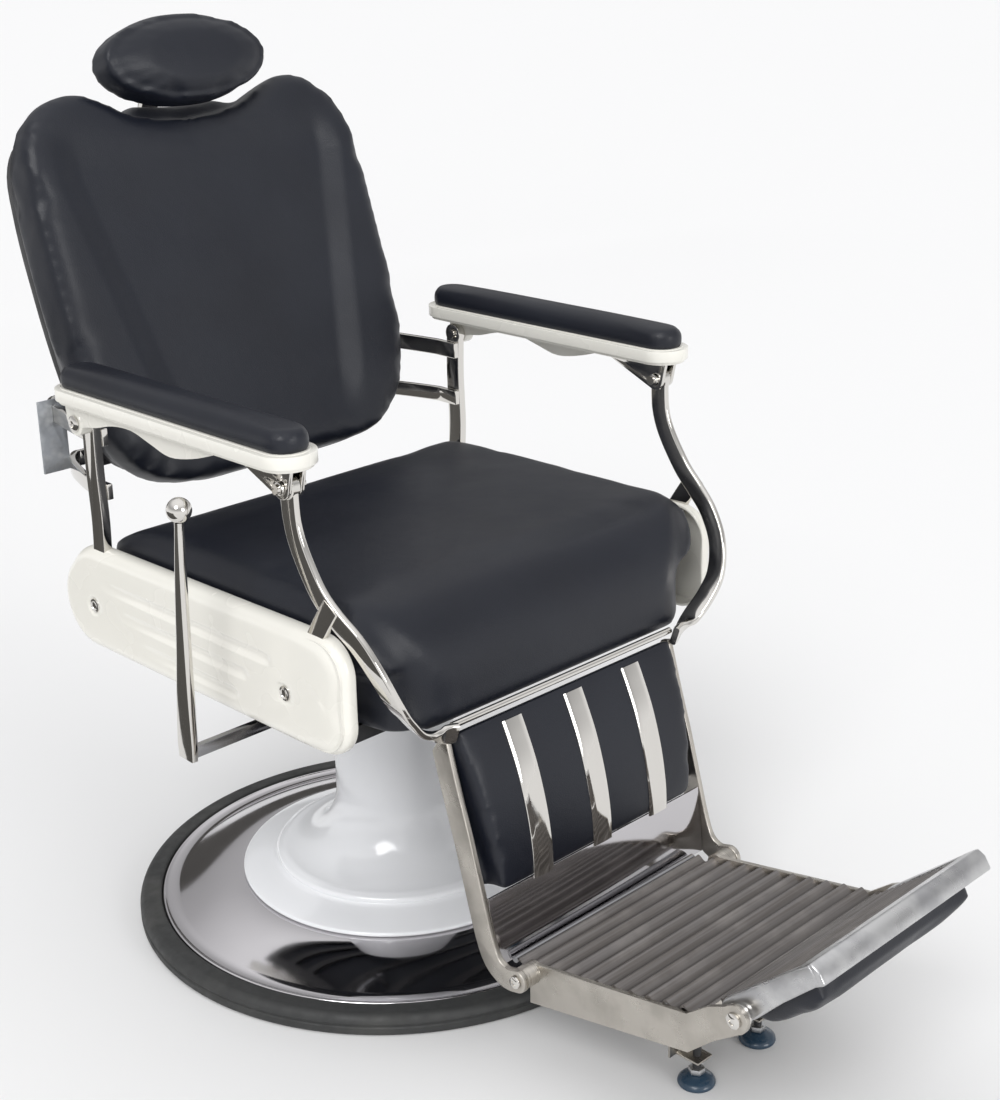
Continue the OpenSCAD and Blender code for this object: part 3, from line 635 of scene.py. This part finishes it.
def build_front_posts():
    bar, branch = post_bar(FRONT_LINE, 8), post_bar(BRANCH_LINE, 7.8)
    eyes = [eye(274, POST_X[1], FRONT_PIVOT, PIVOT_Z, 22), eye(*POST_X, ARM_FRONT, ARM_PIVOT_Z, 14)]
    verts, faces = combine(bar, branch, *eyes)
    for side, sign in (("left", 1), ("right", -1)):
        points = verts if sign > 0 else mirrored(verts)
        dress(make(f"{side}_front_post_polished", points, faces), f"{side}_front_post")


build_front_posts()

SOFT_EDGES = {"left_rear_post": 2.0, "right_rear_post": 2.0, "back_stubs": 1.2, "back_plates": 0.6,
              "left_leg_bar": 1.4, "right_leg_bar": 1.4, "left_arm_bracket": 1.6, "right_arm_bracket": 1.6,
              "footrest_side_plates": 1.6, "lever_shaft": 1.6, "headrest_post": 1.0, "headrest_socket": 1.2,
              "back_frame": 2.0}
for node, width in SOFT_EDGES.items():
    soften(node, width)

TRAY_TOP, PAD_LOW = 739, 8     # height of the CAD shells' rims, and how far they are lowered here


def build_arm_shells():
    """The arm shells with their rims lowered, which leaves more of the pads in view."""
    for side in ("left", "right"):
        name = side + "_arm_shell"
        mesh = frame["nodes"][name].data.copy()
        for v in mesh.vertices:
            if v.co.z > (TRAY_TOP - 1) * MM:
                v.co.z -= PAD_LOW * MM
        dress(rounded(name + "_tray", mesh, 3.0), name)


build_arm_shells()


def build_bolts():
    """Pins and bolts with domed heads and a driver recess."""
    big = [(0.1, 0), (9.2, 0), (9.8, 1), (9.6, 2.4), (7.5, 4), (4.4, 4.6), (3.6, 3.0), (0.1, 2.6)]
    small = [(0.1, 0), (7.2, 0), (7.6, 1), (7.2, 2.6), (5.4, 3.6), (3.2, 3.9), (2.8, 2.6), (0.1, 2.4)]

    def both_sides(name, node, y, z, turned):
        """Solids of (profile, distance from the middle, 1 to face outward or -1), on each side."""
        dress(make(name, *combine(*[spindle(profile, (s * x, y, z), BOLT_STEPS, s * way)
                                    for s in (1, -1) for profile, x, way in turned])), node)

    both_sides("rear_arm_bolts_domed", "rear_arm_bolts", ARM_REAR, ARM_PIVOT_Z,
               [(big, 322.3, 1), (pin(5.9, 32), 291, 1)])
    both_sides("front_arm_pins_domed", "front_arm_pins", ARM_FRONT, ARM_PIVOT_Z,
               [(pin(5.9, 38), 281, 1), (small, 311.7, 1), (small, 288.3, -1)])
    both_sides("footrest_bolts_domed", "footrest_bolts", -418, 130,
               [(small, 194.2, 1), (pin(5.9, 32), 162.5, 1)])


build_bolts()


# ---------- pump lever ----------

LEVER_X = -381
LEVER_STATIONS = [(363, -89, 26, 8, 1.2), (385, -90, 28, 9, 1.4), (440, -93.5, 24.5, 11, 3.5),
                  (500, -98, 20.5, 12, 5.5), (560, -102, 16.5, 11.8, 5.4), (610, -106, 13, 11, 5.0),
                  (640, -108.4, 10.6, 10, 4.7), (650, -109.4, 11, 11, 5.4)]
BALL_AT, BALL_R = (LEVER_X, -111, 663.5), 14


def build_lever():
    """A flat bar at its foot that narrows to a round neck under the ball.

    Each station is a height, a y, a width, a thickness and a corner radius.
    """
    dense = curve_through(LEVER_STATIONS, 6)
    path = [np.array([LEVER_X, s[1], s[0]]) for s in dense]
    shank = sweep(path, [rounded_rect(s[2], s[3], s[4], 4) for s in dense])
    dress(make("pump_lever_tapered", *shank), "pump_lever")
    turns = [math.radians(a) for a in range(8, 180, 6)]
    ball = [(0.3, -BALL_R)] + [(BALL_R * math.sin(a), -BALL_R * math.cos(a)) for a in turns] + [(0.3, BALL_R)]
    dress(make("lever_ball", *loft(rings_round(ball, BALL_AT, 40))), "lever_knob")


build_lever()


# ---------- footrest ----------

TREAD_HALF_W = 161
TREAD_START, TREAD_END = np.array([-391.0, 129.0]), np.array([-656.0, 187.0])
TREAD_DIR = (TREAD_END - TREAD_START) / np.linalg.norm(TREAD_END - TREAD_START)
TREAD_UP = np.array([TREAD_DIR[1], -TREAD_DIR[0]])
TREAD_RIBS, RIB_H = 11, 4.0
STIFFENER_AT, STIFFENER_CORNERS = (0.22, 0.9), ((-11, -9), (11, -9), (11, 9), (-11, 9))
FOOT_AT = (56, -568)
FLIP_PIVOT = np.array([-702.0, 204.0])
FLIP_DIR, FLIP_UP = np.array([-0.77, 0.638]), np.array([0.638, 0.77])
FLIP_START, FLIP_LENGTH, FLIP_HALF_W, FLIP_RIBS = -34, 132, 140, 14


def ribbed_sheet(name, outline_top, outline_under, hollow_shade, half_w):
    """A sheet ribbed along its length, with the hollows between its ribs marked for the finish to darken as
    painted shade.
    """
    xs = np.linspace(-half_w, half_w, 41)
    loop = list(outline_top) + list(outline_under[::-1])
    rings = [[(x, p[0], p[1]) for p in loop] for x in xs]
    made = make(name, *loft(rings), sharp=50)
    # Each point's weight of painted shade: full in the hollows between the ribs, none on the crests or the
    # underside.
    shade_weights = list(hollow_shade) + [0.0] * len(outline_under)
    groove_shade = made.data.attributes.new("groove_shade", "FLOAT", "POINT")
    groove_shade.data.foreach_set("value", np.array(shade_weights * len(xs), np.float32))
    return made


def tread_at(t, h):
    """A point so far along the tread, from 0 to 1, and h above its middle."""
    return TREAD_START + (TREAD_END - TREAD_START) * t + TREAD_UP * h


def build_tread():
    n = 20 * TREAD_RIBS
    top, low = [], []
    for i in range(n + 1):
        t = i / n
        wave = (0.5 + 0.5 * math.cos(2 * math.pi * TREAD_RIBS * t)) ** 1.5
        top.append(tread_at(t, RIB_H * (2 * wave - 1)))
        # low is painted shade for the hollows between the ribs: 1 at the bottom of a hollow, 0 on a crest.
        low.append(1 - wave)
    under = [tread_at(i / n, RIB_H * math.cos(2 * math.pi * TREAD_RIBS * i / n) - 3.4)
             for i in range(0, n + 1, 2)]
    dress(ribbed_sheet("tread_corrugated", top, under, low, TREAD_HALF_W), "footrest_tread")
    stiffeners = []
    for t in STIFFENER_AT:
        corners = [tread_at(t, -15) + TREAD_DIR * a + TREAD_UP * b for a, b in STIFFENER_CORNERS]
        stiffeners.append(prism(corners, -TREAD_HALF_W + 1, TREAD_HALF_W - 1))
    trim(rounded("tread_stiffeners", combine(*stiffeners), 1.2, 2), "footrest_side_plates")
    brackets = []
    for s in (1, -1):
        x, y = s * FOOT_AT[0], FOOT_AT[1]
        brackets.append(prism([(y + 20, 34), (y + 23, 34), (y + 23, 158), (y + 20, 158)], x - 24, x + 24))
        brackets.append(prism([(y - 12, 34), (y + 22, 34), (y + 22, 37), (y - 12, 37)], x - 13, x + 13))
    trim(rounded("foot_brackets", combine(*brackets), 1.0, 2), "footrest_side_plates")


def flip_at(s, h):
    return FLIP_PIVOT + FLIP_DIR * s + FLIP_UP * h


def build_flip():
    n = FLIP_RIBS * 12
    top, low = [], []
    for i in range(n + 1):
        wave = 0.5 + 0.5 * math.cos(2 * math.pi * FLIP_RIBS * i / n)
        top.append(flip_at(FLIP_START + FLIP_LENGTH * i / n, 18.5 + 2.2 * wave))
        # low is painted shade for the hollows between the ribs, up to 0.9 at the bottom of a hollow.
        low.append(0.9 * (1 - wave))
    under = [flip_at(FLIP_START + FLIP_LENGTH * i / 20, 13) for i in range(21)]
    dress(ribbed_sheet("flip_step_ribbed", top, under, low, FLIP_HALF_W), "flip_step")
    bar = [flip_at(98, 24), flip_at(120, 24), flip_at(124, 14), flip_at(122, -2), flip_at(98, 2)]
    arm = [flip_at(-22, 18), flip_at(-14, 21), flip_at(98, 23.5), flip_at(118, 23.5), flip_at(119, 1),
           flip_at(60, -3), flip_at(14, -9), flip_at(-8, -9), flip_at(-20, 0)]
    parts = [prism(bar, -153, 153)]
    for s in (1, -1):
        parts.append(prism(arm, *sorted((s * FLIP_HALF_W, s * (FLIP_HALF_W + 14)))))
    trim(rounded("flip_frame", combine(*parts), 3.0, 3), "flip_step", CAST)
    knuckle = [(0.1, 0), (11.5, 0), (13, 1.5), (13, 4.6), (11.5, 6), (6, 6.4), (6, 13), (0.1, 13)]
    head = [(0.1, 0), (8.6, 0), (9, 1), (8.6, 2.8), (6, 4.2), (3.4, 4.6), (3, 3.2), (0.1, 3)]
    hinge = [spindle(profile, (s * x, *FLIP_PIVOT), BOLT_STEPS, s) for s in (1, -1)
             for profile, x in ((knuckle, 154), (head, TREAD_HALF_W + 6.3))]
    trim(make("flip_hinge_bolts", *combine(*hinge)), "flip_step", FINISHES["chrome"])


build_tread()
build_flip()


def build_feet():
    disc = [(0.3, 0), (18, 0), (21.5, 0.8), (22, 2.4), (21.4, 5), (18, 8.4), (12, 11), (8.6, 12.6),
            (0.3, 12.8)]
    thread = [(5.0 - 0.45 * (i % 2), 20 + 0.75 * i) for i in range(134)]
    stem = [(0.3, 12.6), (5, 13)] + thread + [(0.3, 120.6)]
    nut = [(0.3, 14), (9.8, 14), (9.8, 21), (0.3, 21)]
    for side, s in (("left", 1), ("right", -1)):
        at = (s * FOOT_AT[0], FOOT_AT[1], 0.0)
        name = f"{side}_levelling_foot"
        dress(make(name + "_disc", *loft(rings_round(disc, at, 48))), name)
        trim(make(name + "_stem", *loft(rings_round(stem, at, 24)), sharp=80), name, FINISHES["frame_steel"])
        trim(rounded(name + "_nut", loft(rings_round(nut, at, 6)), 0.8, 2), name, ZINC)


build_feet()


# ---------- leg rest ----------

PAD_FRONT = [(-320, 400), (-333, 374), (-349, 337), (-363, 290), (-371, 245), (-373, 211)]
RISER_HALF_W, BEAD_HALF_W, BEAD_R = 185, 159, 4.4
STRIP_X, STRIP_HOLD = (-101, 0, 101), 19
STRIP_SECTION = [(-16, -1.0), (-16, 0.6), (-15, 1.3), (-8, 1.8), (0, 2.0), (8, 1.8), (15, 1.3), (16, 0.6),
                 (16, -1.0)]


def build_riser():
    """The mirror plate over the tread, and the dark bead along its foot."""
    plate = [(-377.5, 124), (-375, 124), (-365.5, 211), (-368, 211)]
    dress(rounded("riser_mirror", prism(plate, -RISER_HALF_W, RISER_HALF_W), 0.6, 2), "riser_plate")
    bead = spindle(pin(BEAD_R, 2 * BEAD_HALF_W), (-BEAD_HALF_W, -382.5, 127), 24)
    trim(make("riser_bead", *bead), "riser_plate", FINISHES["dark_chrome"])


def build_strips():
    """Three chrome strips that follow the front of the pad."""
    line = [np.array([0.0, y, z]) for y, z in curve_through(PAD_FRONT, 8)][3:]
    parts = []
    for x in STRIP_X:
        rings = []
        for i, p in enumerate(line):
            d = line[min(i + 1, len(line) - 1)] - line[max(i - 1, 0)]
            d = d / np.linalg.norm(d)
            out = np.array([0.0, d[2], -d[1]])
            out = out if out[1] < 0 else -out
            rings.append([p + np.array([x + a, 0, 0]) + out * b for a, b in STRIP_SECTION])
        parts.append(loft(rings))
    dress(make("leg_pad_strips_polished", *combine(*parts), sharp=50), "leg_pad_strips")


build_riser()
build_strips()


# ---------- upholstery ----------

BACK_FOOT, BACK_LEAN = np.array([0.0, 214.0, 563.0]), math.radians(18.9)
DEPTH_DIR = np.array([0.0, math.cos(BACK_LEAN), -math.sin(BACK_LEAN)])
SLOPE_DIR = np.array([0.0, math.sin(BACK_LEAN), math.cos(BACK_LEAN)])
HEAD_C = np.array([0.0, 378.0, 1075.0])
LAST_FRAME = 20
covers = []


def points_of(ob):
    co = np.empty(len(ob.data.vertices) * 3)
    ob.data.vertices.foreach_get("co", co)
    return co.reshape(-1, 3) / MM


def set_points(ob, co):
    ob.data.vertices.foreach_set("co", (co * MM).ravel())
    ob.data.update()


def smooth(made, rounds):
    relax = made.modifiers.new("relax", "SMOOTH")
    relax.factor = 0.5
    relax.iterations = rounds


def upholster(name, nodes, voxel, rounds, cap, pinned, after=None, fill=0.6, low_edge=None):
    """A stuffed cover grown from CAD pads: remeshed, smoothed, then blown up as cloth.

    No point moves further than cap. Points up to the height low_edge are first set down into the
    lowered arm shells.
    """
    bm = bmesh.new()
    for node in nodes:
        bm.from_mesh(frame["nodes"][node].data)
    mesh = bpy.data.meshes.new(name)
    bm.to_mesh(mesh)
    bm.free()
    for v in mesh.vertices:
        if low_edge and v.co.z < (low_edge + 1) * MM:
            v.co.z -= (PAD_LOW + 1) * MM
    made = link(name, mesh)
    remesh = made.modifiers.new("remesh", "REMESH")
    remesh.mode = "VOXEL"
    remesh.voxel_size = voxel * MM
    smooth(made, rounds)
    apply_modifiers(made)
    rest = points_of(made)
    held = made.vertex_groups.new(name="held")
    held.add([i for i, p in enumerate(rest) if pinned(p)], 1.0, "REPLACE")
    cloth = made.modifiers.new("cloth", "CLOTH")
    cloth.settings.use_pressure = True
    cloth.settings.uniform_pressure_force = 4.0
    cloth.settings.quality = 5
    cloth.settings.vertex_group_mass = "held"
    cloth.settings.effector_weights.gravity = 0
    cloth.settings.tension_stiffness = 20
    cloth.point_cache.frame_end = LAST_FRAME
    covers.append((made, nodes, rest, cap, after, fill))


def settle():
    """Runs every cover's simulation at once, limits how far points move, and finishes the meshes."""
    for now in range(1, LAST_FRAME + 1):
        scene.frame_set(now)
    depsgraph = bpy.context.evaluated_depsgraph_get()
    for made, nodes, rest, cap, after, fill in covers:
        mesh = bpy.data.meshes.new_from_object(made.evaluated_get(depsgraph))
        blown = np.empty(len(mesh.vertices) * 3)
        mesh.vertices.foreach_get("co", blown)
        move = blown.reshape(-1, 3) / MM - rest
        far = np.linalg.norm(move, axis=1, keepdims=True)
        made.modifiers.clear()
        set_points(made, rest + move * np.minimum(1.0, cap / np.maximum(far, 1e-6)))
        bpy.data.meshes.remove(mesh)
        made.vertex_groups.clear()
        smooth(made, 8)
        finer = made.modifiers.new("finer", "SUBSURF")
        finer.levels = 1
        finer.render_levels = 1
        apply_modifiers(made)
        if after:
            set_points(made, after(points_of(made)))
        made.data.shade_smooth()
        dress(made, *nodes)
    scene.frame_set(1)


def smoothstep(v):
    v = np.clip(v, 0, 1)
    return v * v * (3 - 2 * v)


BOLSTER_RISE, BOLSTER_SINK, SADDLE_RISE = 9, 4.5, 17


def back_bolsters(co):
    """Raises the sides of the back in front, sinks its middle, and lifts the dip behind the headrest."""
    local = co - BACK_FOOT
    depth, height = local @ DEPTH_DIR, local @ SLOPE_DIR
    crease = 140 + 67 * np.clip((height - 60) / 340, 0, 1)
    side = smoothstep((np.abs(co[:, 0]) - crease + 22) / 44)
    front = smoothstep((37 - depth) / 40) * smoothstep((height - 20) / 90) * smoothstep((470 - height) / 60)
    co = co - np.outer(front * (BOLSTER_RISE * side - BOLSTER_SINK), DEPTH_DIR)
    saddle = smoothstep((height - 420) / 50) * smoothstep((105 - np.abs(co[:, 0])) / 50)
    return co + np.outer(SADDLE_RISE * (saddle * smoothstep((depth - 8) / 16)), SLOPE_DIR)


HEAD_HALF_W, HEAD_HALF_H, SEAM_DEEP, DOME_RISE = 112, 47, 1.2, 6


def head_seam(co):
    """Domes the face of the headrest, with a shallow seam where it meets the side band."""
    local = co - HEAD_C
    depth, height = local @ DEPTH_DIR, local @ SLOPE_DIR
    ring = np.sqrt((co[:, 0] / HEAD_HALF_W) ** 2 + (height / HEAD_HALF_H) ** 2)
    face = smoothstep(-depth / 20)
    seam = np.exp(-((ring - 1) * 70 / 6) ** 2) * face
    dome = np.clip(1 - ring ** 2, 0, 1) * face
    return co + np.outer(SEAM_DEEP * seam - DOME_RISE * dome, DEPTH_DIR)


def depth_from(p, origin):
    return float((p - origin) @ DEPTH_DIR)


def flip_height(p):
    return float((p[1:] - FLIP_PIVOT) @ FLIP_UP)


def leg_pad_held(p):
    """The pad is held under its strips and at its back."""
    return min(abs(p[0] - x) for x in STRIP_X) < STRIP_HOLD or p[1] > 0.2 * (p[2] - 211) - 348


upholster("seat_cover", ("seat_cushion", "seat_board"), 7, 10, 3.5, lambda p: p[2] < 418)
upholster("backrest_cover", ("backrest_cushion",), 6, 11, 9, lambda p: depth_from(p, BACK_FOOT) > 64,
          back_bolsters)
upholster("headrest_cover", ("headrest_pad",), 4, 9, 8, lambda p: depth_from(p, HEAD_C) > 13, head_seam, 0.7)
for side in ("left", "right"):
    upholster(f"{side}_arm_cover", (f"{side}_arm_pad",), 3.5, 6, 3.5, lambda p: p[2] < 735, low_edge=TRAY_TOP)
upholster("leg_cover", ("leg_pad", "leg_pad_board"), 5, 4, 5, leg_pad_held)
upholster("flip_cover", ("flip_pad",), 5, 6, 3, lambda p: flip_height(p) > 8)
settle()


# ---------- studio ----------


FLOOR_HALF = 40000
SKY = [(0.0, 0.90), (0.5, 0.98), (0.56, 0.80), (0.66, 0.46), (0.76, 0.60), (0.88, 1.0), (1.0, 1.1)]
SUNS = {"key": ((0.72, 0.34, -0.72), 1.25, 28), "fill": ((-0.06, 0.95, -0.27), 0.8, 24)}
CARDS = {     # dark cards that only reflections see
    "card_floor": [(-3.4, -0.35, 0.004), (-0.75, -0.35, 0.004), (-0.75, 2.6, 0.004), (-3.4, 2.6, 0.004)],
    "card_back": [(-1.0, 4.2, 0.3), (4.6, 3.0, 0.3), (4.6, 3.0, 1.5), (-1.0, 4.2, 1.5)],
}


def make_floor():
    corners = [(x * FLOOR_HALF, y * FLOOR_HALF, 0) for x, y in ((-1, -1), (1, -1), (1, 1), (-1, 1))]
    floor = make("floor", corners, [(0, 1, 2, 3)])
    paper = Finish("paper", (0.82, 0.82, 0.82), 0.8)
    paper.bump(paper.noise(60, 3), 0.0004, 0.1)
    floor.data.materials.append(paper.material)


def make_sky():
    """A world whose brightness changes only with height."""
    world = bpy.data.worlds.new("studio")
    scene.world = world
    world.use_nodes = True
    nodes, links = world.node_tree.nodes, world.node_tree.links
    place = nodes.new("ShaderNodeTexCoord")
    height = nodes.new("ShaderNodeSeparateXYZ")
    links.new(place.outputs["Generated"], height.inputs[0])
    ramp = nodes.new("ShaderNodeValToRGB")
    shift = nodes.new("ShaderNodeMapRange")
    shift.inputs["From Min"].default_value = -1
    links.new(height.outputs["Z"], shift.inputs["Value"])
    links.new(shift.outputs[0], ramp.inputs[0])
    while len(ramp.color_ramp.elements) < len(SKY):
        ramp.color_ramp.elements.new(0.5)
    for element, (at, value) in zip(ramp.color_ramp.elements, SKY):
        element.position = at
        element.color = (value, value, value * 1.01, 1)
    links.new(ramp.outputs[0], nodes["Background"].inputs["Color"])
    nodes["Background"].inputs["Strength"].default_value = 1.0


def make_studio():
    make_floor()
    make_sky()
    for name, (way, power, spread) in SUNS.items():
        data = bpy.data.lights.new(name, "SUN")
        data.energy = power
        data.angle = math.radians(spread)
        light = bpy.data.objects.new(name, data)
        light.rotation_euler = Vector(way).to_track_quat("-Z", "Y").to_euler()
        scene.collection.objects.link(light)
    for name, corners in CARDS.items():
        card = make(name, [tuple(c / MM for c in corner) for corner in corners], [(0, 1, 2, 3)])
        card.data.materials.append(DARK_CARD.material)
        card.visible_camera = card.visible_diffuse = card.visible_shadow = False
    scene.view_settings.view_transform = "Standard"


make_studio()
